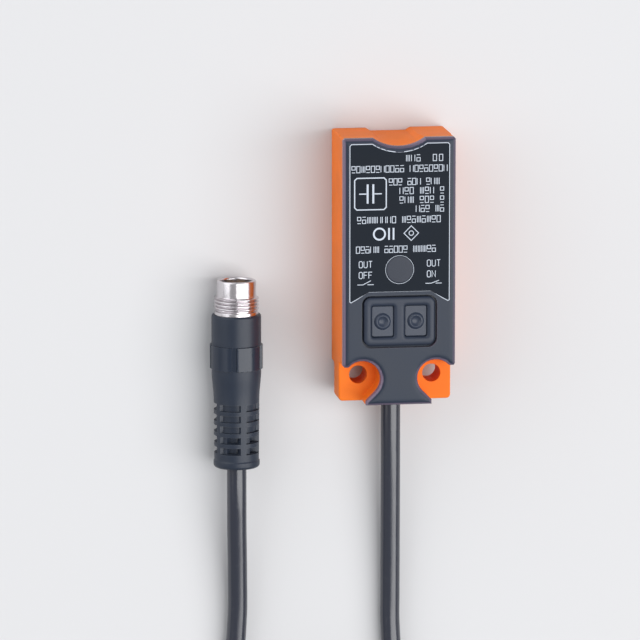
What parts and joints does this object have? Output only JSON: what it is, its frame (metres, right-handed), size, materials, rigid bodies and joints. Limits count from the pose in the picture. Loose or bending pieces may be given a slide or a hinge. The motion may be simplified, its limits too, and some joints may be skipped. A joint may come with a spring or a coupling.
{
  "type": "block proximity sensor with cord and plug",
  "caption": "Block-shaped electronic sensor in an orange housing with a grey cover, label, indicator window and teach keys, on a short cord with a round screw plug.",
  "frame": {"origin": "middle of the sensing face that the housing lies on", "axes": "+Z out of the label side, +Y along the housing towards its closed end, away from the cord, +X across"},
  "size_m": [0.0438, 0.1372, 0.014],
  "materials": {
    "orange_plastic": "moulded, satin",
    "slate_plastic": "moulded, satin, slightly see-through at the edges",
    "keypad_rubber": "soft-touch, matt",
    "label_foil": "printed foil, satin",
    "smoke_window": "smoke-grey, finely frosted",
    "clear_plastic": "clear",
    "seal_rubber": "matt",
    "black_plastic": "moulded, matt",
    "plug_plastic": "moulded, satin",
    "cable_jacket": "extruded, satin",
    "nickel": "nickel-plated, turned",
    "tin_plate": "plain",
    "gold": "gold-plated",
    "copper": "etched foil",
    "circuit_board": "solder mask",
    "chip_black": "moulded",
    "ceramic_tan": "matt",
    "led_yellow": "clear lens",
    "led_green": "clear lens",
    "wire_brown": "extruded",
    "wire_white": "extruded",
    "wire_blue": "extruded",
    "wire_black": "extruded"
  },
  "bodies": {
    "housing": {"housing_shell": "orange_plastic", "front_cover": "slate_plastic", "cover_seal": "seal_rubber", "label_plate": "label_foil", "led_window": "smoke_window", "light_guide": "clear_plastic", "keypad_frame": "keypad_rubber", "switch_body_left": "tin_plate", "switch_body_right": "tin_plate", "main_board": "circuit_board", "sensing_board": "circuit_board", "sensing_electrode": "copper", "guard_ring": "copper", "contact_pin_signal": "gold", "contact_pin_guard": "gold", "led_yellow": "led_yellow", "led_green": "led_green", "controller_chip": "chip_black", "voltage_regulator": "chip_black", "output_transistor_1": "chip_black", "output_transistor_2": "chip_black", "protection_diode": "chip_black", "bulk_capacitor": "ceramic_tan", "capacitor_1": "ceramic_tan", "capacitor_2": "ceramic_tan", "resistor_1": "chip_black", "resistor_2": "chip_black", "cable_entry": "cable_jacket", "cable_gland": "seal_rubber", "crimp_ring": "tin_plate", "conductor_brown": "wire_brown", "conductor_white": "wire_white", "conductor_blue": "wire_blue", "conductor_black": "wire_black", "cable_run_sensor": "cable_jacket", "cable_run_plug": "cable_jacket", "cable_coil": "cable_jacket", "cable_tie": "black_plastic", "plug_grip": "plug_plastic", "plug_sleeve": "nickel", "plug_insert": "black_plastic", "plug_pin_1": "gold", "plug_pin_2": "gold", "plug_pin_3": "gold", "plug_pin_4": "gold"},
    "key_left": {"key_left": "keypad_rubber", "key_actuator_left": "black_plastic"},
    "key_right": {"key_right": "keypad_rubber", "key_actuator_right": "black_plastic"},
    "stem_left": {"switch_stem_left": "black_plastic"},
    "stem_right": {"switch_stem_right": "black_plastic"}
  },
  "joints": [
    {"name": "key_left_press", "type": "slide", "parent": "housing", "child": "key_left", "axis": [0, 0, -1], "range_m": [0, 0.00035], "stiffness_N_per_m": 1200, "springref_m": -0.0003},
    {"name": "key_right_press", "type": "slide", "parent": "housing", "child": "key_right", "axis": [0, 0, -1], "range_m": [0, 0.00035], "stiffness_N_per_m": 1200, "springref_m": -0.0003},
    {"name": "stem_left_press", "type": "slide", "parent": "housing", "child": "stem_left", "axis": [0, 0, -1], "range_m": [0, 0.00035]},
    {"name": "stem_right_press", "type": "slide", "parent": "housing", "child": "stem_right", "axis": [0, 0, -1], "range_m": [0, 0.00035]}
  ],
  "couplings": [
    {"joint": "stem_left_press", "follows": "key_left_press", "ratio": 1},
    {"joint": "stem_right_press", "follows": "key_right_press", "ratio": 1}
  ]
}
